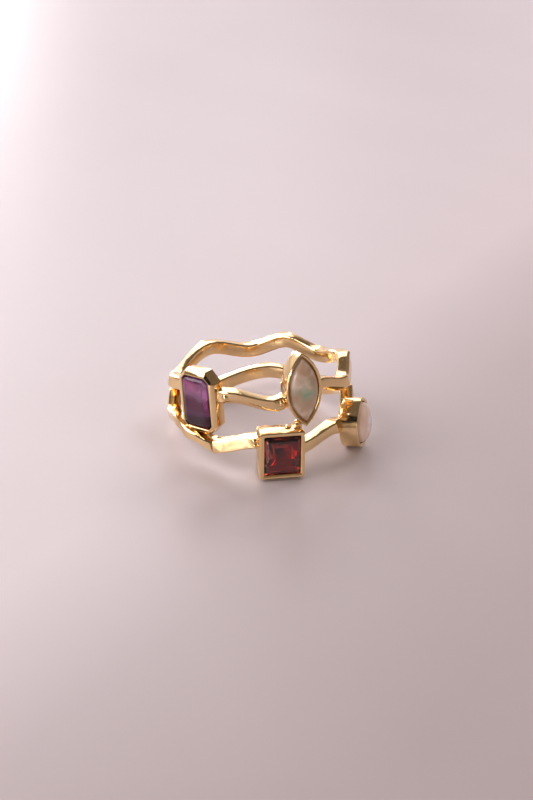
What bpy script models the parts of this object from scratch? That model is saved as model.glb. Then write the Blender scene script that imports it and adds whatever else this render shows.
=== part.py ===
"""A gold ring of two wavy bands, soldered together and set with four bezel-set stones.

The ring is modelled round +Z with its front at -Y. Angles round it are in degrees: 0 is the
front, positive angles run to the right (+X). The finished ring is then laid on its settings,
as it rests by itself on a table.
"""
import math

import bmesh
import bpy
from mathutils import Matrix, Vector

MM = 0.001

# Bands
BORE_RADIUS = 8.65 * MM
BAND_THICKNESS = 1.5 * MM
BAND_HEIGHT = 1.45 * MM
BAND_EDGE = 0.14 * MM
LOWER_CHAMFER = 0.2 * MM
FACET_FLATNESS = 0.75
CUT_START = 0.35

# Steps round the bands, in degrees
CREASE_WIDTH = 2.0
STATION_STEP = 4.5

# Heights of the two bands' middle lines, and how far their waves swing
UPPER_LEVEL = 4.4 * MM
UPPER_WAVE = 1.0 * MM
LOWER_LEVEL = 0.2 * MM
LOWER_WAVE = 1.0 * MM

# Settings and stones
SEAT_GAP = 0.1 * MM
WALL_EDGE = 0.08 * MM
GRIP = 0.16 * MM
LIP = 0.2 * MM
GIRDLE = 0.12 * MM
BACK_PLATE = 0.25 * MM
FRONT_CLEARANCE = 0.5 * MM

AMETHYST_LENGTH = 7.1 * MM
AMETHYST_WIDTH = 4.95 * MM
AMETHYST_CORNER = 1.2 * MM
AMETHYST_SQUARING = 1.15
AMETHYST_DEPTH = 1.6 * MM
AMETHYST_TAPER = 0.0
AMETHYST_BEVEL = 0.26 * MM
AMETHYST_LAND = 0.58 * MM
AMETHYST_RIM = 0.66 * MM
AMETHYST_DISH = 0.08 * MM
AMETHYST_CROWN = 0.34 * MM
AMETHYST_ANGLE = -41.0
AMETHYST_STANDOFF = 0.03 * MM
AMETHYST_LEVEL = 4.6 * MM
AMETHYST_SPIN = 0.0

OPAL_LENGTH = 8.35 * MM
OPAL_WIDTH = 4.2 * MM
OPAL_DEPTH = 2.05 * MM
OPAL_TAPER = 0.3 * MM
OPAL_BEVEL = 0.0
OPAL_LAND = 0.14 * MM
OPAL_RIM = 0.36 * MM
OPAL_DISH = 0.14 * MM
OPAL_DOME = 0.75 * MM
OPAL_ANGLE = 25.0
OPAL_STANDOFF = 0.45 * MM
OPAL_LEVEL = 6.05 * MM
OPAL_SPIN = 0.0

GARNET_LENGTH = 5.2 * MM
GARNET_WIDTH = 4.8 * MM
GARNET_CORNER = 0.16 * MM
GARNET_SQUARING = 0.2
GARNET_DEPTH = 2.5 * MM
GARNET_TAPER = 0.0
GARNET_BEVEL = 0.0
GARNET_LAND = 0.2 * MM
GARNET_RIM = 0.42 * MM
GARNET_DISH = 0.08 * MM
GARNET_CROWN = 0.26 * MM
GARNET_ANGLE = 9.8
GARNET_STANDOFF = 0.1 * MM
GARNET_LEVEL = -0.84 * MM
GARNET_SPIN = -4.5

MOONSTONE_DIAMETER = 5.4 * MM
MOONSTONE_DEPTH = 2.05 * MM
MOONSTONE_TAPER = 0.0
MOONSTONE_BEVEL = 0.0
MOONSTONE_LAND = 0.16 * MM
MOONSTONE_RIM = 0.4 * MM
MOONSTONE_DISH = 0.12 * MM
MOONSTONE_DOME = 1.0 * MM
MOONSTONE_ANGLE = 73.0
MOONSTONE_STANDOFF = 0.7 * MM
MOONSTONE_LEVEL = -1.15 * MM
MOONSTONE_SPIN = 0.0
MOONSTONE_SIDES = 36

# Waves of each band, one row for each crest, trough or bend, with a crease across the outer face
# at each. Rise is a share of the wave, proud and lean are shares of the band's thickness: proud
# is how far the crease stands out, lean how far the face after it is set back at its top edge
# (or, below zero, at its bottom edge). Cut is the facet filed off the face's lower edge (or, below
# zero, off its upper edge) after the crease, as a share of the band's height at its widest.
WAVE_COLUMNS = ("angle", "rise", "proud", "lean", "cut")
UPPER_WAVES = (
    (-176, -1.20, 0.06, 0.10, 0.18),
    (-144, 0.10, 0.06, -0.10, -0.16),
    (-104, -1.20, 0.06, 0.12, 0.22),
    (-72, 0.90, 0.02, 0.05, 0.10),
    (-22, 1.15, 0.06, -0.04, 0.36),
    (9, 0.00, 0.04, 0.10, 0.10),
    (38, 1.00, 0.02, 0.06, 0.20),
    (71, -0.62, 0.10, 0.12, -0.14),
    (96, 0.25, 0.08, -0.12, 0.20),
    (133, -1.15, 0.06, 0.10, -0.14),
    (158, -0.12, 0.06, -0.10, 0.18),
)
LOWER_WAVES = (
    (-142, -0.55, 0.06, 0.10, 0.20),
    (-108, 1.35, 0.06, -0.12, 0.12),
    (-86, 0.35, 0.06, -0.10, 0.18),
    (-63, 0.95, 0.20, -0.08, 0.22),
    (-50, 0.42, 0.40, -0.08, 0.24),
    (-33, -0.55, 0.14, 0.14, 0.03),
    (-4, 0.25, 0.02, 0.04, 0.10),
    (26, -1.20, 0.04, -0.06, 0.14),
    (52, -0.50, 0.06, 0.10, -0.14),
    (72, -1.25, 0.04, 0.05, 0.18),
    (92, 1.00, 0.06, -0.12, -0.16),
    (134, -0.87, 0.06, 0.12, 0.20),
    (172, 0.35, 0.06, -0.10, 0.14),
)

# Beads of solder where the bands and settings meet: angle in degrees, how far the bead's middle
# is out from the bore, its height, and its radius
SOLDER_COLUMNS = ("angle", "out", "height", "radius")
SOLDER_JOINTS = (
    (-106.0, 0.75 * MM, 2.10 * MM, 0.50 * MM),
    (-21.2, 1.30 * MM, 5.62 * MM, 0.40 * MM),
    (-5.6, 1.26 * MM, 0.60 * MM, 0.36 * MM),
    (-5.2, 1.28 * MM, 0.12 * MM, 0.30 * MM),
    (13.2, 1.18 * MM, 4.60 * MM, 0.42 * MM),
    (15.6, 1.25 * MM, 1.64 * MM, 0.38 * MM),
    (23.0, 0.95 * MM, 1.75 * MM, 0.50 * MM),
    (20.4, 1.55 * MM, 1.60 * MM, 0.36 * MM),
)

GOLD = (0.95, 0.70, 0.36, 1.0)
PURPLE = (0.24, 0.08, 0.30, 1.0)
MILKY = (0.80, 0.74, 0.74, 1.0)
DEEP_RED = (0.18, 0.01, 0.02, 1.0)
PEARLY = (0.86, 0.80, 0.80, 1.0)


def clear_scene():
    for thing in list(bpy.data.objects):
        bpy.data.objects.remove(thing, do_unlink=True)


def new_collection(name):
    group = bpy.data.collections.new(name)
    bpy.context.scene.collection.children.link(group)
    return group


def material(name, colour, roughness, metallic):
    finish = bpy.data.materials.new(name)
    finish.use_nodes = True
    shader = finish.node_tree.nodes["Principled BSDF"]
    shader.inputs["Base Color"].default_value = colour
    shader.inputs["Roughness"].default_value = roughness
    shader.inputs["Metallic"].default_value = metallic
    return finish


def outward(angle):
    """Unit vector out of the ring's axis at this angle."""
    turn = math.radians(angle)
    return Vector((math.sin(turn), -math.cos(turn), 0.0))


def along(angle):
    """Unit vector round the ring at this angle, towards larger angles."""
    turn = math.radians(angle)
    return Vector((math.cos(turn), math.sin(turn), 0.0))


def loft(name, sections, closed):
    """Object skinned over sections of equal point counts, capped unless it closes on itself."""
    shape = bmesh.new()
    rings = [[shape.verts.new(point) for point in section] for section in sections]
    pairs = list(zip(rings, rings[1:]))
    if closed:
        pairs.append((rings[-1], rings[0]))
    else:
        shape.faces.new(rings[0])
        shape.faces.new(rings[-1])
    for lower, upper in pairs:
        count = len(lower)
        for i in range(count):
            j = (i + 1) % count
            shape.faces.new((lower[i], lower[j], upper[j], upper[i]))
    bmesh.ops.recalc_face_normals(shape, faces=shape.faces)
    mesh = bpy.data.meshes.new(name)
    shape.to_mesh(mesh)
    shape.free()
    return bpy.data.objects.new(name, mesh)


def wave_rows(waves):
    return [dict(zip(WAVE_COLUMNS, row)) for row in waves]


def path_slopes(rows):
    """Rise for each degree at every row: level at crests and troughs, even through bends."""
    steps = [(last["rise"] - first["rise"]) / (last["angle"] - first["angle"])
             for first, last in zip(rows, rows[1:])]
    slopes = []
    for before, after in zip([steps[-1]] + steps, steps + [steps[0]]):
        slopes.append(2 * before * after / (before + after) if before * after > 0 else 0.0)
    return slopes


def path_point(first, last, start_slope, end_slope, angle):
    """Rise and its slope for each degree, on a cubic between two rows."""
    span = last["angle"] - first["angle"]
    t = (angle - first["angle"]) / span
    step = last["rise"] - first["rise"]
    a = start_slope * span - step
    b = step - end_slope * span
    rise = first["rise"] + t * step + t * (1 - t) * ((1 - t) * a + t * b)
    slope = step + (1 - 2 * t) * ((1 - t) * a + t * b) + t * (1 - t) * (b - a)
    return rise, slope / span


def chord_radius(first, last, angle):
    """Radius of the straight line between two creases, eased towards the round band."""
    r_first = BORE_RADIUS + BAND_THICKNESS * (1 + first["proud"])
    r_last = BORE_RADIUS + BAND_THICKNESS * (1 + last["proud"])
    span = math.radians(last["angle"] - first["angle"])
    done = math.radians(angle - first["angle"])
    chord = r_first * r_last * math.sin(span) / (
        r_first * math.sin(done) + r_last * math.sin(span - done))
    share = done / span
    arc = r_first + (r_last - r_first) * share
    return arc + (chord - arc) * FACET_FLATNESS


def band_section(angle, height, slope, radius, lean, cut):
    """Closed outline of the band, square to its sloping path."""
    thick = radius - BORE_RADIUS
    top = thick - BAND_THICKNESS * max(lean, 0.0)
    low = thick - BAND_THICKNESS * max(-lean, 0.0)
    top_cut = BAND_EDGE + BAND_HEIGHT * max(-cut, 0.0)
    low_cut = LOWER_CHAMFER + BAND_HEIGHT * max(cut, 0.0)
    half = BAND_HEIGHT / 2
    outline = (
        (BAND_EDGE, -half),
        (0.0, -half + BAND_EDGE),
        (0.0, half - BAND_EDGE),
        (BAND_EDGE, half),
        (top - top_cut, half),
        (top, half - top_cut),
        (low, -half + low_cut),
        (low - low_cut, -half),
    )
    up = Vector((0, 0, math.cos(slope))) - along(angle) * math.sin(slope)
    middle = Vector((0, 0, height))
    return [middle + outward(angle) * (BORE_RADIUS + u) + up * v for u, v in outline]


def band(name, waves, level, wave):
    """One wavy band, its path eased from crest to trough and its outer face cut flat between."""
    rows = wave_rows(waves)
    rows.append(dict(rows[0], angle=rows[0]["angle"] + 360))
    slopes = path_slopes(rows)
    middle_radius = BORE_RADIUS + BAND_THICKNESS / 2
    sections = []
    for i, (first, last) in enumerate(zip(rows, rows[1:])):
        span = last["angle"] - first["angle"]
        count = max(3, round(span / STATION_STEP))
        for station in range(count):
            step = CREASE_WIDTH / 2 + (span - CREASE_WIDTH) * station / (count - 1)
            angle = first["angle"] + step
            rise, climb = path_point(first, last, slopes[i], slopes[i + 1], angle)
            slope = math.atan(math.degrees(climb) * wave / middle_radius)
            radius = chord_radius(first, last, angle)
            swell = CUT_START + (1 - CUT_START) * math.sin(math.pi * step / span)
            sections.append(band_section(
                angle, level + rise * wave, slope, radius, first["lean"], first["cut"] * swell))
    return loft(name, sections, closed=True)


def octagon(width, length, corner, squaring):
    """Outline of a rectangle with cut corners, which shrink by this share of the inset."""
    def outline(inset):
        x = width / 2 - inset
        y = length / 2 - inset
        cut = max(corner - inset * squaring, 0.3 * corner)
        return [(x, -y + cut), (x, y - cut), (x - cut, y), (-x + cut, y),
                (-x, y - cut), (-x, -y + cut), (-x + cut, -y), (x - cut, -y)]
    return outline


def marquise(width, length, steps=10):
    """Outline of two arcs meeting in points above and below, as a function of the inset."""
    radius = (length ** 2 + width ** 2) / (4 * width)
    centre = radius - width / 2

    def outline(inset):
        reach = math.acos(centre / (radius - inset))
        side = [(math.cos(reach * (2 * i / steps - 1)), math.sin(reach * (2 * i / steps - 1)))
                for i in range(steps)]
        right = [((radius - inset) * c - centre, (radius - inset) * s) for c, s in side]
        return right + [(-x, -y) for x, y in right]
    return outline


def circle(diameter, sides):
    """Outline of a circle, as a function of the inset."""
    def outline(inset):
        radius = diameter / 2 - inset
        turns = [2 * math.pi * i / sides for i in range(sides)]
        return [(radius * math.cos(turn), radius * math.sin(turn)) for turn in turns]
    return outline


def setting_frame(angle, level, standoff, depth, spin):
    """Frame at the middle of a setting's front: X round the ring, Y up and Z outward."""
    place = outward(angle) * (BORE_RADIUS + standoff + depth) + Vector((0, 0, level))
    frame = Matrix((along(angle), (0, 0, 1), outward(angle))).transposed().to_4x4()
    frame.translation = place
    return frame @ Matrix.Rotation(math.radians(spin), 4, 'Z')


def stacked(name, frame, outline, profile):
    """Solid lofted through copies of one outline: profile rows are inset and depth."""
    sections = [[frame @ Vector((x, y, z)) for x, y in outline(inset)] for inset, z in profile]
    return loft(name, sections, closed=False)


def bezel(name, frame, outline, depth, taper, bevel, land):
    """Solid block of a setting, before its pocket is cut: its back is narrower by the taper,
    and its rim slopes down by the bevel from the pocket's mouth to the wall."""
    profile = [
        (taper + WALL_EDGE, -depth),
        (taper, -depth + WALL_EDGE),
        (0.0, -bevel - WALL_EDGE),
        (WALL_EDGE, -bevel),
    ]
    if bevel > 0:
        profile.append((land - WALL_EDGE, 0.0))
    return stacked(name, frame, outline, profile)


def pocket(name, frame, outline, depth, taper, land, rim, dish):
    """Room for a stone: a dished mouth, then a lip that closes over the stone's girdle."""
    profile = (
        (rim - GRIP + taper, -depth + BACK_PLATE),
        (rim - GRIP, -dish - LIP),
        (rim, -dish),
        (land, 0.0),
        (land, FRONT_CLEARANCE),
    )
    return stacked(name, frame, outline, profile)


def faceted_stone(name, frame, outline, rim, dish, crown, pavilion):
    """Cut stone: crown rows rise to the table, pavilion rows fall to the keel."""
    girdle = rim - GRIP + SEAT_GAP
    girdle_top = -dish - LIP - SEAT_GAP
    profile = [(girdle + inset, girdle_top - GIRDLE - fall) for inset, fall in reversed(pavilion)]
    profile += [(girdle, girdle_top - GIRDLE), (girdle, girdle_top), (rim + SEAT_GAP, -dish)]
    profile += [(rim + SEAT_GAP + inset, -dish + rise) for inset, rise in crown]
    return stacked(name, frame, outline, profile)


def cabochon(name, frame, outline, reach, depth, taper, rim, dish, dome, steps):
    """Flat-backed stone with a low rounded dome; reach is the outline's half width."""
    girdle = rim - GRIP + SEAT_GAP
    girdle_top = -dish - LIP - SEAT_GAP
    base = -depth + BACK_PLATE + SEAT_GAP
    profile = [(girdle + taper, base), (girdle, girdle_top)]
    span = reach - rim - SEAT_GAP
    for i in range(steps):
        turn = math.pi / 2 * i / steps
        profile.append((rim + SEAT_GAP + span * (1 - math.cos(turn)), -dish + dome * math.sin(turn)))
    return stacked(name, frame, outline, profile)


def solder_bead(name, angle, out, height, radius):
    """Small round bead of solder."""
    place = outward(angle) * (BORE_RADIUS + out) + Vector((0, 0, height))
    bpy.ops.mesh.primitive_ico_sphere_add(subdivisions=2, radius=radius, location=place)
    bead = bpy.context.active_object
    bead.name = name
    for group in bead.users_collection:
        group.objects.unlink(bead)
    return bead


def combine(body, piece, group, parent, operation):
    """Join a piece to the body or cut it away, and keep it as a hidden guide."""
    group.objects.link(piece)
    piece.hide_render = True
    piece.display_type = 'WIRE'
    piece.parent = parent
    boolean = body.modifiers.new(piece.name, 'BOOLEAN')
    boolean.operation = operation
    boolean.solver = 'EXACT'
    boolean.object = piece


def world_points(objects):
    graph = bpy.context.evaluated_depsgraph_get()
    points = []
    for thing in objects:
        shape = thing.evaluated_get(graph)
        points += [shape.matrix_world @ vertex.co for vertex in shape.data.vertices]
    return points


def middle_of_mass(body):
    """Centre of volume of the metal, summed over its triangles."""
    shape = bmesh.new()
    shape.from_object(body, bpy.context.evaluated_depsgraph_get())
    bmesh.ops.triangulate(shape, faces=shape.faces)
    total = 0.0
    moment = Vector((0, 0, 0))
    for face in shape.faces:
        a, b, c = (vertex.co.copy() for vertex in face.verts)
        volume = a.dot(b.cross(c)) / 6
        total += volume
        moment += volume * (a + b + c) / 4
    shape.free()
    return moment / total


def resting_turn(objects, body):
    """Rotation that lays the ring on the three lowest points round its centre of mass."""
    hull = bmesh.new()
    for point in world_points(objects):
        hull.verts.new(point)
    bmesh.ops.convex_hull(hull, input=hull.verts)
    hull.normal_update()
    centre = middle_of_mass(body)
    best = None
    for face in hull.faces:
        normal = face.normal
        foot = centre + normal * (face.verts[0].co - centre).dot(normal)
        corners = [vertex.co for vertex in face.verts]
        edges = zip(corners, corners[1:] + corners[:1])
        inside = all((b - a).cross(foot - a).dot(normal) >= 0 for a, b in edges)
        if inside and (best is None or normal.z < best.z):
            best = normal.copy()
    hull.free()
    return best.rotation_difference(Vector((0, 0, -1)))


def build():
    clear_scene()
    pieces = new_collection("ring")
    guides = new_collection("guides")
    rest = bpy.data.objects.new("rest", None)
    pieces.objects.link(rest)

    gold = material("gold", GOLD, 0.12, 1.0)
    purple = material("amethyst", PURPLE, 0.05, 0.0)
    milky = material("opal", MILKY, 0.15, 0.0)
    red = material("garnet", DEEP_RED, 0.05, 0.0)
    pearly = material("moonstone", PEARLY, 0.15, 0.0)

    amethyst_frame = setting_frame(
        AMETHYST_ANGLE, AMETHYST_LEVEL, AMETHYST_STANDOFF, AMETHYST_DEPTH, AMETHYST_SPIN)
    opal_frame = setting_frame(OPAL_ANGLE, OPAL_LEVEL, OPAL_STANDOFF, OPAL_DEPTH, OPAL_SPIN)
    garnet_frame = setting_frame(
        GARNET_ANGLE, GARNET_LEVEL, GARNET_STANDOFF, GARNET_DEPTH, GARNET_SPIN)
    moonstone_frame = setting_frame(
        MOONSTONE_ANGLE, MOONSTONE_LEVEL, MOONSTONE_STANDOFF, MOONSTONE_DEPTH,
        MOONSTONE_SPIN)
    amethyst_outline = octagon(
        AMETHYST_WIDTH, AMETHYST_LENGTH, AMETHYST_CORNER, AMETHYST_SQUARING)
    opal_outline = marquise(OPAL_WIDTH, OPAL_LENGTH)
    garnet_outline = octagon(GARNET_WIDTH, GARNET_LENGTH, GARNET_CORNER, GARNET_SQUARING)
    moonstone_outline = circle(MOONSTONE_DIAMETER, MOONSTONE_SIDES)

    body = band("ring_body", UPPER_WAVES, UPPER_LEVEL, UPPER_WAVE)
    body.data.materials.append(gold)
    pieces.objects.link(body)
    body.parent = rest
    joined = [
        band("lower_band", LOWER_WAVES, LOWER_LEVEL, LOWER_WAVE),
        bezel("amethyst_bezel", amethyst_frame, amethyst_outline,
              AMETHYST_DEPTH, AMETHYST_TAPER, AMETHYST_BEVEL, AMETHYST_LAND),
        bezel("opal_bezel", opal_frame, opal_outline,
              OPAL_DEPTH, OPAL_TAPER, OPAL_BEVEL, OPAL_LAND),
        bezel("garnet_bezel", garnet_frame, garnet_outline,
              GARNET_DEPTH, GARNET_TAPER, GARNET_BEVEL, GARNET_LAND),
        bezel("moonstone_bezel", moonstone_frame, moonstone_outline,
              MOONSTONE_DEPTH, MOONSTONE_TAPER, MOONSTONE_BEVEL, MOONSTONE_LAND),
    ]
    for number, row in enumerate(SOLDER_JOINTS, 1):
        joint = dict(zip(SOLDER_COLUMNS, row))
        joined.append(solder_bead(f"solder_{number}", **joint))
    cutters = [
        pocket("amethyst_pocket", amethyst_frame, amethyst_outline,
               AMETHYST_DEPTH, AMETHYST_TAPER, AMETHYST_LAND, AMETHYST_RIM, AMETHYST_DISH),
        pocket("opal_pocket", opal_frame, opal_outline,
               OPAL_DEPTH, OPAL_TAPER, OPAL_LAND, OPAL_RIM, OPAL_DISH),
        pocket("garnet_pocket", garnet_frame, garnet_outline,
               GARNET_DEPTH, GARNET_TAPER, GARNET_LAND, GARNET_RIM, GARNET_DISH),
        pocket("moonstone_pocket", moonstone_frame, moonstone_outline,
               MOONSTONE_DEPTH, MOONSTONE_TAPER, MOONSTONE_LAND, MOONSTONE_RIM,
               MOONSTONE_DISH),
    ]
    for piece in joined:
        combine(body, piece, guides, rest, 'UNION')
    for piece in cutters:
        combine(body, piece, guides, rest, 'DIFFERENCE')

    # Crown and pavilion rows are shares of the room that each setting leaves
    amethyst_room = AMETHYST_WIDTH / 2 - AMETHYST_RIM
    amethyst_drop = (AMETHYST_DEPTH - BACK_PLATE - AMETHYST_DISH - LIP - GIRDLE - 2 * SEAT_GAP)
    garnet_room = GARNET_WIDTH / 2 - GARNET_RIM
    garnet_drop = (GARNET_DEPTH - BACK_PLATE - GARNET_DISH - LIP - GIRDLE - 2 * SEAT_GAP)
    amethyst_crown = [(0.14 * amethyst_room, 0.65 * AMETHYST_CROWN),
                      (0.30 * amethyst_room, AMETHYST_CROWN)]
    amethyst_pavilion = [(share * amethyst_room, fall * amethyst_drop)
                         for share, fall in ((0.34, 0.45), (0.64, 0.78), (0.9, 1.0))]
    garnet_crown = [(0.20 * garnet_room, 0.75 * GARNET_CROWN), (0.34 * garnet_room, GARNET_CROWN)]
    garnet_pavilion = [(share * garnet_room, fall * garnet_drop)
                       for share, fall in ((0.30, 0.42), (0.62, 0.74), (0.92, 1.0))]
    stones = [
        (faceted_stone("amethyst", amethyst_frame, amethyst_outline, AMETHYST_RIM, AMETHYST_DISH,
                       amethyst_crown, amethyst_pavilion), purple),
        (cabochon("opal", opal_frame, opal_outline, OPAL_WIDTH / 2, OPAL_DEPTH, OPAL_TAPER,
                  OPAL_RIM, OPAL_DISH, OPAL_DOME, steps=6), milky),
        (faceted_stone("garnet", garnet_frame, garnet_outline, GARNET_RIM, GARNET_DISH,
                       garnet_crown, garnet_pavilion), red),
        (cabochon("moonstone", moonstone_frame, moonstone_outline, MOONSTONE_DIAMETER / 2,
                  MOONSTONE_DEPTH, MOONSTONE_TAPER, MOONSTONE_RIM, MOONSTONE_DISH,
                  MOONSTONE_DOME, steps=8), pearly),
    ]
    for stone, finish in stones:
        stone.data.materials.append(finish)
        pieces.objects.link(stone)
        stone.parent = rest

    nodes = [body] + [stone for stone, finish in stones]
    bpy.context.view_layer.update()
    rest.rotation_mode = 'QUATERNION'
    rest.rotation_quaternion = resting_turn(nodes, body)
    bpy.context.view_layer.update()
    points = world_points(nodes)
    low = Vector([min(point[i] for point in points) for i in range(3)])
    high = Vector([max(point[i] for point in points) for i in range(3)])
    rest.location = (-(low.x + high.x) / 2, -(low.y + high.y) / 2, -low.z)
    bpy.context.view_layer.update()


build()
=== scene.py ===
"""Looks of a gold ring of two wavy bands, with four bezel-set stones.

Metres throughout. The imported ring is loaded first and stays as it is: each piece made here takes
the place of one of its nodes. The ring lies on its settings on a pale table, its front at -Y.
"""

import math

import bpy
from mathutils import Matrix, Quaternion, Vector


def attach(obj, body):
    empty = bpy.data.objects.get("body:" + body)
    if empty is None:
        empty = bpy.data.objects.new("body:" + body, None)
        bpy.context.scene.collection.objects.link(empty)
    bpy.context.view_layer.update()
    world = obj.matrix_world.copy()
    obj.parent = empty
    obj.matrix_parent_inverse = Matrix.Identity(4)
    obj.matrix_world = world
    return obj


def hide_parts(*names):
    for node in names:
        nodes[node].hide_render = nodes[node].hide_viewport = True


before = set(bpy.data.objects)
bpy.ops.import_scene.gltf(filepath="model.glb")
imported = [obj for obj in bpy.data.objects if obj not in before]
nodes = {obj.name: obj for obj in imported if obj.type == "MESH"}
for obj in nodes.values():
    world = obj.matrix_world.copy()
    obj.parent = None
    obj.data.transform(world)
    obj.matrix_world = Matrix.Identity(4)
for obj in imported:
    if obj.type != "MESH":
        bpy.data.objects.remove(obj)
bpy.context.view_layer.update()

MM = 0.001

# How the ring lies: its own axis is +Z and its front -Y before it is turned and moved
LAID_DOWN = Matrix.Translation((-0.847 * MM, 0.6237 * MM, 2.4927 * MM)) @ \
    Quaternion((0.9972, -0.0458, -0.0591, 0.0)).to_matrix().to_4x4()

# Camera, fitted to the photograph
CAMERA_PLACE = Vector((-13.775, -226.938, 127.592)) * MM
CAMERA_RIGHT = Vector((0.99827, -0.03233, 0.04915))
CAMERA_UP = Vector((-0.02764, 0.47982, 0.87693))
CAMERA_BACK = Vector((-0.05194, -0.87677, 0.47809))
CAMERA_LENS = 107.17

# Room: light from its walls, from the far side round to the bright side, and from overhead
BRIGHT_SIDE = (-0.34, 0.94, 0.0)
WALL_EDGES = (0.25, 0.9)
WALL_TONES = [(0.0, (0.22, 0.165, 0.13)), (0.5, (0.24, 0.20, 0.19)), (1.0, (0.98, 0.88, 0.88))]
CEILING_EDGES = (0.25, 0.7)
CEILING_TONE = (0.15, 0.12, 0.105)

# Lights: name, place, point that it faces, width, height, watts, colour, spread in degrees, and
# whether the gold mirrors it
LIGHTS = [
    ("key_left", (-0.333, -0.029, 0.301), (0, 0, 0), 0.34, 0.30, 1.35, (1.0, 0.96, 0.97), 180, True),
    ("window", (-0.10, 0.32, 0.17), (-0.01, 0.03, 0), 0.30, 0.18, 0.31, (1.0, 0.95, 0.97), 180, True),
    ("card_behind", (-0.14, 0.46, 0.085), (0, 0, 0), 0.16, 0.10, 0.40, (1.0, 0.96, 0.95), 120, True),
    ("card_front_left", (-0.27, -0.42, 0.06), (0, 0, 0), 0.26, 0.16, 0.12, (1.0, 0.93, 0.87), 120, True),
    ("small_lamp", (-0.222, -0.369, 0.098), (0, 0, 0), 0.07, 0.04, 0.10, (1.0, 0.97, 0.93), 120, True),
    ("fill_back_right", (0.20, 0.28, 0.26), (0.02, 0.05, 0), 0.2, 0.16, 0.75, (1.0, 0.96, 0.97), 180,
     False),
    ("fill_front_right", (0.28, -0.20, 0.16), (0, 0, 0), 0.2, 0.16, 0.40, (1.0, 0.92, 0.86), 180, False),
]

# Black card that gives the gold a dark streak
FLAG_PLACE = (-0.198, -0.294, 0.277)
FLAG_SIZE = (0.24, 0.22)
FLAG_TONE = (0.01, 0.01, 0.01)

# Table: its faint grain, and a painted shade that darkens it towards the front right and a little at the
# back left
TABLE_SIZE = 4.0
TABLE_GRAIN = 14.0
TABLE_TONES = [(0.3, (0.70, 0.62, 0.64)), (0.7, (0.74, 0.66, 0.68))]
PAINTED_SHADE_SIDE = (0.8, -0.55, 0.0)
PAINTED_SHADE_ENDS = (-70.0 * MM, 40.0 * MM)
PAINTED_SHADE_TONES = [(0.0, (0.66, 0.66, 0.68)), (0.41, (0.80, 0.80, 0.82)), (0.60, (0.86, 0.85, 0.86)),
               (0.76, (0.69, 0.67, 0.67)), (1.0, (0.61, 0.58, 0.58))]

# Gold: tones from painted shade in its deep corners to its open faces, and the heights of its polishing
# marks
GOLD_PAINTED_SHADE_TONES = [(0.15, (0.50, 0.28, 0.10)), (0.55, (0.90, 0.62, 0.29)), (0.9, (0.95, 0.70, 0.37))]
GOLD_PAINTED_SHADE_REACH = 0.5 * MM
GOLD_ROUGHNESS = (0.09, 0.28)
GOLD_SWELL_HEIGHT = 0.042 * MM
GOLD_HAIRLINE_HEIGHT = -0.0004 * MM
GOLD_EDGE_WIDTH = 0.05 * MM
GOLD_EDGE_ANGLE = math.radians(24)
GOLD_SMOOTH_ANGLE = math.radians(35)

# Settings: angle round the ring in degrees, level up it, reach from its axis, spin in degrees
AMETHYST_SETTING = (-41.0, 4.6 * MM, 10.28 * MM, 0.0)
GARNET_SETTING = (9.8, -0.84 * MM, 11.25 * MM, -4.5)
OPAL_SETTING = (25.0, 6.05 * MM, 11.5 * MM, 0.0)
MOONSTONE_SETTING = (73.0, -1.15 * MM, 11.8 * MM, 0.0)

# Cut stones: their rows of facets are (inset, rise) from the girdle, to the front or the back
GIRDLE = 0.12 * MM
GIRDLE_TOP = -0.38 * MM
AMETHYST_SIZE = (3.71 * MM, 5.86 * MM)
AMETHYST_CORNER = 0.5 * MM
AMETHYST_CROWN = [(0.05 * MM, 0.18 * MM), (0.20 * MM, 0.42 * MM), (0.40 * MM, 0.56 * MM),
                  (0.62 * MM, 0.64 * MM)]
AMETHYST_BACK = [(0.42 * MM, 0.30 * MM), (0.92 * MM, 0.56 * MM), (1.83 * MM, 0.74 * MM)]
GARNET_SIZE = (4.06 * MM, 4.46 * MM)
GARNET_CORNER = 0.1 * MM
GARNET_CROWN = [(0.06 * MM, 0.16 * MM), (0.30 * MM, 0.42 * MM), (0.56 * MM, 0.54 * MM)]
GARNET_BACK = [(0.34 * MM, 0.42 * MM), (0.95 * MM, 0.84 * MM)]
GARNET_POINT = 0.62 * MM
GARNET_SINK_LEVEL = -1.24 * MM
GARNET_SINK = -0.08 * MM
LONG_EDGE = 1.0 * MM
ON_AXIS = 0.01 * MM

# Colour bands, and in the amethyst a painted glow, up the cut stones from their lower end, how far they
# reach either way, and the share of that reach by which they blur
# The amethyst is lighter near its top in its own colour; its pale lilac band is brightened further as a
# painted glow of light inside the stone
AMETHYST_BANDS_AND_GLOW = [(0.0, (0.06, 0.006, 0.03)), (0.2, (0.10, 0.010, 0.05)), (0.3, (0.44, 0.14, 0.42)),
                  (0.39, (0.24, 0.035, 0.14)), (0.57, (0.32, 0.055, 0.20)), (0.66, (0.94, 0.50, 0.96)),
                  (0.88, (0.76, 0.32, 0.68)), (1.0, (0.30, 0.07, 0.24))]
AMETHYST_REACH = 2.9 * MM
AMETHYST_BLUR = 0.3
AMETHYST_CLEAR = 0.84
AMETHYST_REFRACTION = 1.55
GARNET_BANDS = [(0.1, (0.88, 0.14, 0.09)), (0.5, (0.46, 0.045, 0.028)), (0.9, (0.28, 0.018, 0.012))]
GARNET_REACH = 2.2 * MM
GARNET_BLUR = 0.9
GARNET_CLEAR = 1.0
GARNET_REFRACTION = 1.75
CLOUD_SCALE = 900.0

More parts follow.
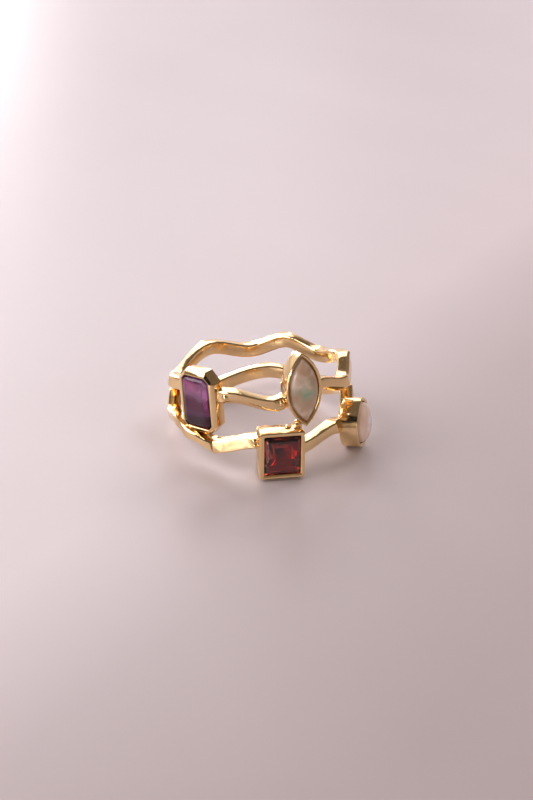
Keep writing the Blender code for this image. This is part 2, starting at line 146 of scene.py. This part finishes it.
# Milky stones: tones of their soft patches, and the flash in their middle with its reach
OPAL_MILK = [(0.3, (0.46, 0.24, 0.14)), (0.5, (0.47, 0.33, 0.23)), (0.72, (0.74, 0.58, 0.48))]
OPAL_PATCH = 2.4 * MM
OPAL_FLASH = (0.24, 0.36, 0.25)
MOONSTONE_MILK = [(0.3, (0.66, 0.46, 0.36)), (0.7, (0.76, 0.58, 0.48))]
MOONSTONE_PATCH = 3.0 * MM
MOONSTONE_FLASH = (0.78, 0.74, 0.78)
FLASH_REACH = 2.0 * MM
DOME_EDGE_ANGLE = math.radians(32)
DOME_SMOOTH_ANGLE = math.radians(40)


# Node helpers
def new_group(name, inputs, outputs):
    """Empty shader node group: inputs are (name, kind, value), outputs are (name, kind)."""
    group = bpy.data.node_groups.new(name, 'ShaderNodeTree')
    for label, kind, value in inputs:
        socket = group.interface.new_socket(label, in_out='INPUT', socket_type=kind)
        if value is not None:
            socket.default_value = value
    for label, kind in outputs:
        group.interface.new_socket(label, in_out='OUTPUT', socket_type=kind)
    return group, group.nodes.new('NodeGroupInput'), group.nodes.new('NodeGroupOutput')


def feed(tree, made, inputs):
    """Set a node's inputs, by name or number, each from another node's socket or to a value."""
    for label, value in inputs.items():
        if isinstance(value, bpy.types.NodeSocket):
            tree.links.new(value, made.inputs[label])
        else:
            made.inputs[label].default_value = value


def node(tree, kind, inputs, **settings):
    """New node with its own settings, then its inputs."""
    made = tree.nodes.new(kind)
    for label, value in settings.items():
        setattr(made, label, value)
    feed(tree, made, inputs)
    return made


def stretch(tree, value, ends, results=(0.0, 1.0), kind='LINEAR'):
    """Value between two ends as a value between two results, held at both."""
    return node(tree, 'ShaderNodeMapRange',
                {'Value': value, 'From Min': ends[0], 'From Max': ends[1],
                 'To Min': results[0], 'To Max': results[1]}, interpolation_type=kind).outputs[0]


def opaque(colour):
    return (*colour, 1.0)


def ramp(tree, factor, stops):
    """Colour ramp from (position, colour) stops."""
    made = node(tree, 'ShaderNodeValToRGB', {0: factor})
    elements = made.color_ramp.elements
    elements[0].position, elements[0].color = stops[0][0], opaque(stops[0][1])
    elements[1].position, elements[1].color = stops[-1][0], opaque(stops[-1][1])
    for position, colour in stops[1:-1]:
        elements.new(position).color = opaque(colour)
    return made.outputs['Color']


def mix(tree, factor, first, second, blend='MIX'):
    """Mix of two colours: the mix node takes these at its inputs 6 and 7."""
    return node(tree, 'ShaderNodeMix', {0: factor, 6: first, 7: second},
                data_type='RGBA', blend_type=blend).outputs[2]


def new_finish(name):
    """New material, with its nodes, its shader and the place on the piece."""
    finish = bpy.data.materials.new(name)
    finish.use_nodes = True
    tree = finish.node_tree
    shader = tree.nodes["Principled BSDF"]
    place = tree.nodes.new('ShaderNodeTexCoord').outputs['Object']
    return finish, tree, shader, place


# Shared effects
def polish_marks_group():
    """Fine hairlines and slow swells that hand polishing leaves, each as a value from 0 to 1."""
    group, start, end = new_group(
        "polish_marks",
        [("Vector", 'NodeSocketVector', None),
         ("Swell Size", 'NodeSocketFloat', 1.2 * MM),
         ("Hairline Size", 'NodeSocketFloat', 0.05 * MM)],
        [("Swell", 'NodeSocketFloat'), ("Hairlines", 'NodeSocketFloat')])
    place = start.outputs['Vector']
    swell_scale = node(group, 'ShaderNodeMath', {0: 1.0, 1: start.outputs['Swell Size']},
                       operation='DIVIDE')
    swell = node(group, 'ShaderNodeTexNoise',
                 {'Vector': place, 'Scale': swell_scale.outputs[0], 'Detail': 2.6, 'Roughness': 0.42})
    hair_scale = node(group, 'ShaderNodeMath', {0: 1.0, 1: start.outputs['Hairline Size']},
                      operation='DIVIDE')
    lines = []
    for turn in ((0.3, 0.5, 0.2), (1.4, -0.6, 0.9)):
        stretched = node(group, 'ShaderNodeMapping',
                         {'Vector': place, 'Rotation': turn, 'Scale': (0.06, 1.0, 1.0)})
        hair = node(group, 'ShaderNodeTexNoise',
                    {'Vector': stretched.outputs[0], 'Scale': hair_scale.outputs[0], 'Detail': 2.0})
        lines.append(stretch(group, hair.outputs['Fac'], (0.60, 0.72)))
    total = node(group, 'ShaderNodeMath', {0: lines[0], 1: lines[1]}, operation='MAXIMUM')
    feed(group, end, {'Swell': swell.outputs['Fac'], 'Hairlines': total.outputs[0]})
    return group


def polish_marks(tree, marks, place, swell_size, hairline_size):
    """The shared polishing marks in a finish, at their size there."""
    return node(tree, 'ShaderNodeGroup',
                {'Vector': place, 'Swell Size': swell_size, 'Hairline Size': hairline_size},
                node_tree=marks)


# Finishes
def table_finish():
    """Smooth pale table with a faint grain, and a painted shade fixed to the table and not to the
    camera.
    """
    finish, tree, shader, place = new_finish("pale_table")
    grain = node(tree, 'ShaderNodeTexNoise', {'Vector': place, 'Scale': TABLE_GRAIN, 'Detail': 3.0})
    pale = ramp(tree, grain.outputs['Fac'], TABLE_TONES)
    # Painted shade: the table's colour darkens towards the front right, and a little at the back left
    across = node(tree, 'ShaderNodeVectorMath', {0: place, 1: PAINTED_SHADE_SIDE}, operation='DOT_PRODUCT')
    painted_shade = ramp(tree, stretch(tree, across.outputs['Value'], PAINTED_SHADE_ENDS), PAINTED_SHADE_TONES)
    feed(tree, shader, {'Base Color': mix(tree, 1.0, pale, painted_shade, 'MULTIPLY'),
                        'Roughness': 0.34, 'Specular IOR Level': 0.35})
    return finish


def flag_finish():
    finish, tree, shader, _ = new_finish("black_flag")
    feed(tree, shader, {'Base Color': opaque(FLAG_TONE), 'Roughness': 1.0})
    return finish


def gold_finish(marks):
    """Polished yellow gold, darker in its corners as painted shade, with fine hairlines and slow swells.
    """
    finish, tree, shader, place = new_finish("polished_gold")
    wear = polish_marks(tree, marks, place, swell_size=1.1 * MM, hairline_size=0.04 * MM)
    # Painted shade: the gold's colour darkens where its corners are close, within this reach
    painted_corner_shade = node(tree, 'ShaderNodeAmbientOcclusion', {'Distance': GOLD_PAINTED_SHADE_REACH}, samples=8)
    swell = node(tree, 'ShaderNodeMath', {0: wear.outputs['Swell'], 1: GOLD_SWELL_HEIGHT},
                 operation='MULTIPLY')
    height = node(tree, 'ShaderNodeMath',
                  {0: wear.outputs['Hairlines'], 1: GOLD_HAIRLINE_HEIGHT, 2: swell.outputs[0]},
                  operation='MULTIPLY_ADD')
    bump = node(tree, 'ShaderNodeBump', {'Height': height.outputs[0], 'Distance': 1.0, 'Strength': 1.0})
    feed(tree, shader, {
        'Metallic': 1.0,
        'Base Color': ramp(tree, painted_corner_shade.outputs['AO'], GOLD_PAINTED_SHADE_TONES),
        'Roughness': stretch(tree, wear.outputs['Hairlines'], (0.0, 1.0), GOLD_ROUGHNESS),
        'Normal': bump.outputs[0]})
    return finish


def cut_stone_finish(name, marks, place, bands, reach, blur, clear, refraction):
    """Clear coloured stone with crisp facets, its colour, and in the amethyst a painted glow, in soft
    bands up the stone.

    The bands lie level in the stone's own setting, and a cloudy pattern shifts them up and down by
    the blur, a share of their reach."""
    finish, tree, shader, point = new_finish(name)
    back = place.inverted()
    upright = node(tree, 'ShaderNodeMapping',
                   {'Vector': point, 'Location': back.translation, 'Rotation': back.to_euler()})
    height = node(tree, 'ShaderNodeSeparateXYZ', {0: upright.outputs[0]})
    cloud = node(tree, 'ShaderNodeTexNoise', {'Vector': point, 'Scale': CLOUD_SCALE, 'Detail': 2.0})
    blurred = node(tree, 'ShaderNodeMath',
                   {0: cloud.outputs['Fac'], 1: blur * reach, 2: height.outputs['Y']},
                   operation='MULTIPLY_ADD')
    share = stretch(tree, blurred.outputs[0], ((0.5 * blur - 1.0) * reach, (0.5 * blur + 1.0) * reach))
    wear = polish_marks(tree, marks, point, swell_size=2.0 * MM, hairline_size=0.05 * MM)
    feed(tree, shader, {
        'Base Color': ramp(tree, share, bands),
        'Transmission Weight': clear,
        'Specular IOR Level': 0.3,
        'IOR': refraction,
        'Roughness': stretch(tree, wear.outputs['Hairlines'], (0.0, 1.0), (0.0, 0.08))})
    return finish


def milky_finish(name, marks, middle, milk_tones, patch_size, flash):
    """Milky stone: soft patches under a glossy domed surface, and a flash that fades out from
    the middle."""
    finish, tree, shader, place = new_finish(name)
    patches = node(tree, 'ShaderNodeTexNoise',
                   {'Vector': place, 'Scale': 1.0 / patch_size, 'Detail': 2.0, 'Distortion': 0.6})
    milk = ramp(tree, patches.outputs['Fac'], milk_tones)
    away = node(tree, 'ShaderNodeVectorMath', {0: place, 1: middle}, operation='DISTANCE')
    near = stretch(tree, away.outputs['Value'], (0.2 * FLASH_REACH, FLASH_REACH), (1.0, 0.0),
                   'SMOOTHSTEP')
    fine = node(tree, 'ShaderNodeTexNoise',
                {'Vector': place, 'Scale': 2.6 / patch_size, 'Detail': 2.0, 'Distortion': 0.3})
    broken = stretch(tree, fine.outputs['Fac'], (0.34, 0.68))
    share = node(tree, 'ShaderNodeMath', {0: near, 1: broken}, operation='MULTIPLY')
    wear = polish_marks(tree, marks, place, swell_size=1.5 * MM, hairline_size=0.05 * MM)
    feed(tree, shader, {
        'Base Color': mix(tree, share.outputs[0], milk, opaque(flash)),
        'Subsurface Weight': 0.5,
        'Subsurface Radius': (1.0, 0.8, 0.8),
        'Subsurface Scale': 0.6 * MM,
        'Coat Weight': 0.6,
        'Coat Roughness': 0.03,
        'Roughness': stretch(tree, wear.outputs['Hairlines'], (0.0, 1.0), (0.10, 0.25))})
    return finish


# Camera, table and light
def add_camera():
    data = bpy.data.cameras.new("camera")
    data.lens = CAMERA_LENS
    data.sensor_width = 36.0
    data.clip_start = 0.01
    data.clip_end = 50.0
    camera = bpy.data.objects.new("camera", data)
    bpy.context.scene.collection.objects.link(camera)
    turn = Matrix((CAMERA_RIGHT, CAMERA_UP, CAMERA_BACK)).transposed().to_4x4()
    turn.translation = CAMERA_PLACE
    camera.matrix_world = turn
    bpy.context.scene.camera = camera


def add_table():
    bpy.ops.mesh.primitive_plane_add(size=TABLE_SIZE, location=(0, 0, 0))
    table = bpy.context.active_object
    table.name = "table"
    table.data.materials.append(table_finish())


def add_surroundings():
    """Studio room: pale by the horizon behind the ring, dim in front and overhead."""
    world = bpy.data.worlds.new("studio")
    bpy.context.scene.world = world
    world.use_nodes = True
    tree = world.node_tree
    way = tree.nodes.new('ShaderNodeTexCoord').outputs['Generated']
    bright = node(tree, 'ShaderNodeVectorMath', {0: way, 1: BRIGHT_SIDE}, operation='DOT_PRODUCT')
    behind = stretch(tree, bright.outputs['Value'], WALL_EDGES, kind='SMOOTHSTEP')
    walls = ramp(tree, behind, WALL_TONES)
    split = node(tree, 'ShaderNodeSeparateXYZ', {0: way})
    above = stretch(tree, split.outputs['Z'], CEILING_EDGES, kind='SMOOTHSTEP')
    feed(tree, tree.nodes["Background"],
         {'Color': mix(tree, above, walls, opaque(CEILING_TONE)), 'Strength': 1.0})


def add_softbox(name, place, target, width, height, power, colour, spread, mirrored):
    """Area light that faces the target."""
    data = bpy.data.lights.new(name, 'AREA')
    data.shape = 'RECTANGLE'
    data.size = width
    data.size_y = height
    data.energy = power
    data.color = colour
    data.spread = math.radians(spread)
    light = bpy.data.objects.new(name, data)
    bpy.context.scene.collection.objects.link(light)
    light.visible_camera = False
    light.visible_glossy = mirrored
    light.location = place
    light.rotation_euler = (Vector(target) - Vector(place)).to_track_quat('-Z', 'Y').to_euler()


def add_flag():
    """Black card that faces the ring and shows only as a dark streak in the gold."""
    bpy.ops.mesh.primitive_plane_add(size=1.0, location=FLAG_PLACE)
    flag = bpy.context.active_object
    flag.name = "black_flag"
    flag.scale = (*FLAG_SIZE, 1.0)
    flag.rotation_euler = Vector(FLAG_PLACE).to_track_quat('Z', 'Y').to_euler()
    flag.visible_camera = False
    flag.visible_shadow = False
    flag.data.materials.append(flag_finish())


# Pieces
def select(piece):
    """Select this piece alone, in object mode."""
    if bpy.context.object and bpy.context.object.mode != 'OBJECT':
        bpy.ops.object.mode_set(mode='OBJECT')
    bpy.ops.object.select_all(action='DESELECT')
    piece.select_set(True)
    bpy.context.view_layer.objects.active = piece


def edit(piece):
    """Open this piece alone for editing, all of it selected."""
    select(piece)
    bpy.ops.object.mode_set(mode='EDIT')
    bpy.ops.mesh.select_all(action='SELECT')


def merged_copy(node_name, name):
    """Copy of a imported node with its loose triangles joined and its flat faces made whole."""
    piece = nodes[node_name].copy()
    piece.data = nodes[node_name].data.copy()
    piece.name = name
    piece.data.name = name
    piece.parent = None
    for label in list(piece.keys()):
        del piece[label]
    bpy.context.scene.collection.objects.link(piece)
    piece.data.materials.clear()
    edit(piece)
    bpy.ops.mesh.remove_doubles(threshold=0.002 * MM)
    bpy.ops.mesh.dissolve_limited(angle_limit=math.radians(0.5))
    bpy.ops.object.mode_set(mode='OBJECT')
    return piece


def finish_piece(piece, node_name, finish):
    """Give the piece its finish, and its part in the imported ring."""
    piece.data.materials.append(finish)
    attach(piece, "root")
    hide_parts(node_name)


def add_gold(finish):
    """Bands and settings as packed, with their edges rounded a little."""
    piece = merged_copy("ring_body", "gold_bands_and_settings")
    select(piece)
    edges = piece.modifiers.new("rounded_edges", 'BEVEL')
    edges.width = GOLD_EDGE_WIDTH
    edges.segments = 2
    edges.limit_method = 'ANGLE'
    edges.angle_limit = GOLD_EDGE_ANGLE
    edges.use_clamp_overlap = True
    bpy.ops.object.modifier_apply(modifier=edges.name)
    bpy.ops.object.shade_smooth_by_angle(angle=GOLD_SMOOTH_ANGLE)
    finish_piece(piece, "ring_body", finish)


def setting_place(angle, level, reach, spin):
    """Where a setting's front is: X round the ring, Y up the setting and Z outward."""
    turn = math.radians(angle)
    outward = Vector((math.sin(turn), -math.cos(turn), 0.0))
    along = Vector((math.cos(turn), math.sin(turn), 0.0))
    place = Matrix((along, (0, 0, 1), outward)).transposed().to_4x4()
    place.translation = outward * reach + Vector((0, 0, level))
    return LAID_DOWN @ place @ Matrix.Rotation(math.radians(spin), 4, 'Z')


def pick_face(piece, direction):
    """Select only the flat face at the very end of the stone, to the front (1) or the back (-1)."""
    bpy.ops.mesh.select_all(action='DESELECT')
    bpy.ops.object.mode_set(mode='OBJECT')
    end = max(piece.data.polygons, key=lambda face: face.center.z * direction)
    end.select = True
    bpy.ops.object.mode_set(mode='EDIT')


def draw_rows(piece, rows, size, direction):
    """Pull the end face out row by row; rows are (inset, rise) from the girdle."""
    width, length = size
    reached = (0.0, 0.0)
    for inset, rise in rows:
        pick_face(piece, direction)
        bpy.ops.mesh.extrude_region_move(
            TRANSFORM_OT_translate={"value": (0, 0, direction * (rise - reached[1]))})
        bpy.ops.transform.resize(value=((width - 2 * inset) / (width - 2 * reached[0]),
                                        (length - 2 * inset) / (length - 2 * reached[0]), 1.0))
        reached = (inset, rise)


def split_long_edges(piece, direction):
    """Add a middle point to each long edge of the end face."""
    pick_face(piece, direction)
    bpy.ops.object.mode_set(mode='OBJECT')
    points = piece.data.vertices
    for edge in piece.data.edges:
        first, last = (points[i].co for i in edge.vertices)
        edge.select = edge.select and (first - last).length > LONG_EDGE
    bpy.ops.object.mode_set(mode='EDIT')
    bpy.context.tool_settings.mesh_select_mode = (False, True, False)
    bpy.ops.mesh.subdivide(number_cuts=1)
    bpy.context.tool_settings.mesh_select_mode = (True, False, False)


def sink_middles(piece, level, drop):
    """Move the middle points below this level, so that each side breaks into two facets."""
    bpy.ops.mesh.select_all(action='DESELECT')
    bpy.ops.object.mode_set(mode='OBJECT')
    for point in piece.data.vertices:
        x, y, z = point.co
        point.select = z < level and min(abs(x), abs(y)) < ON_AXIS < max(abs(x), abs(y))
    bpy.ops.object.mode_set(mode='EDIT')
    bpy.ops.transform.translate(value=(0, 0, drop))


def start_cut_stone(name, size, corner):
    """Thin eight-sided slab at the girdle, its corners cut."""
    width, length = size
    bpy.ops.object.select_all(action='DESELECT')
    bpy.ops.mesh.primitive_plane_add(size=1.0, location=(0, 0, 0))
    piece = bpy.context.active_object
    piece.name = name
    piece.data.name = name
    edit(piece)
    bpy.ops.transform.resize(value=(width, length, 1.0))
    bpy.ops.mesh.bevel(offset=corner, offset_type='OFFSET', segments=1, affect='VERTICES')
    bpy.ops.transform.translate(value=(0, 0, GIRDLE_TOP - GIRDLE))
    bpy.ops.mesh.extrude_region_move(TRANSFORM_OT_translate={"value": (0, 0, GIRDLE)})
    return piece


def end_cut_stone(piece, place, node_name, finish):
    """Join the cut stone's points, and put it in its setting with the object itself at the origin."""
    bpy.ops.mesh.select_all(action='SELECT')
    bpy.ops.mesh.remove_doubles(threshold=0.004 * MM)
    bpy.ops.mesh.normals_make_consistent(inside=False)
    bpy.ops.object.mode_set(mode='OBJECT')
    piece.matrix_world = place
    select(piece)
    bpy.ops.object.transform_apply(location=True, rotation=True, scale=True)
    finish_piece(piece, node_name, finish)


def add_amethyst(place, finish):
    """Step cut: rows of long facets round a table, and a keel down its back."""
    piece = start_cut_stone("amethyst_step_cut", AMETHYST_SIZE, AMETHYST_CORNER)
    draw_rows(piece, AMETHYST_CROWN, AMETHYST_SIZE, 1)
    draw_rows(piece, AMETHYST_BACK, AMETHYST_SIZE, -1)
    end_cut_stone(piece, place, "amethyst", finish)


def add_garnet(place, finish):
    """Square cut: a broad table, over a back whose facets meet in one point."""
    piece = start_cut_stone("garnet_square_cut", GARNET_SIZE, GARNET_CORNER)
    draw_rows(piece, GARNET_CROWN, GARNET_SIZE, 1)
    draw_rows(piece, GARNET_BACK, GARNET_SIZE, -1)
    split_long_edges(piece, -1)
    pick_face(piece, -1)
    bpy.ops.mesh.poke(offset=GARNET_POINT)
    sink_middles(piece, GARNET_SINK_LEVEL, GARNET_SINK)
    end_cut_stone(piece, place, "garnet", finish)


def add_domed_stone(node_name, name, finish):
    """Packed stone's own outline, rounded into a smooth dome."""
    piece = merged_copy(node_name, name)
    edit(piece)
    bpy.ops.mesh.tris_convert_to_quads()
    bpy.ops.mesh.select_all(action='DESELECT')
    bpy.ops.mesh.edges_select_sharp(sharpness=DOME_EDGE_ANGLE)
    bpy.ops.transform.edge_crease(value=1.0)
    bpy.ops.object.mode_set(mode='OBJECT')
    rounding = piece.modifiers.new("rounding", 'SUBSURF')
    rounding.levels = 2
    rounding.render_levels = 2
    bpy.ops.object.modifier_apply(modifier=rounding.name)
    bpy.ops.object.shade_smooth_by_angle(angle=DOME_SMOOTH_ANGLE)
    finish_piece(piece, node_name, finish)


add_camera()
add_table()
add_surroundings()
for light in LIGHTS:
    add_softbox(*light)
add_flag()

marks = polish_marks_group()
add_gold(gold_finish(marks))
amethyst_place = setting_place(*AMETHYST_SETTING)
add_amethyst(amethyst_place, cut_stone_finish(
    "amethyst", marks, amethyst_place, AMETHYST_BANDS_AND_GLOW, AMETHYST_REACH, AMETHYST_BLUR,
    AMETHYST_CLEAR, AMETHYST_REFRACTION))
garnet_place = setting_place(*GARNET_SETTING)
add_garnet(garnet_place, cut_stone_finish(
    "garnet", marks, garnet_place, GARNET_BANDS, GARNET_REACH, GARNET_BLUR,
    GARNET_CLEAR, GARNET_REFRACTION))
add_domed_stone("opal", "opal_dome", milky_finish(
    "opal", marks, setting_place(*OPAL_SETTING).translation, OPAL_MILK, OPAL_PATCH, OPAL_FLASH))
add_domed_stone("moonstone", "moonstone_dome", milky_finish(
    "moonstone", marks, setting_place(*MOONSTONE_SETTING).translation, MOONSTONE_MILK,
    MOONSTONE_PATCH, MOONSTONE_FLASH))

bpy.context.scene.view_settings.view_transform = 'Standard'

bpy.context.view_layer.update()
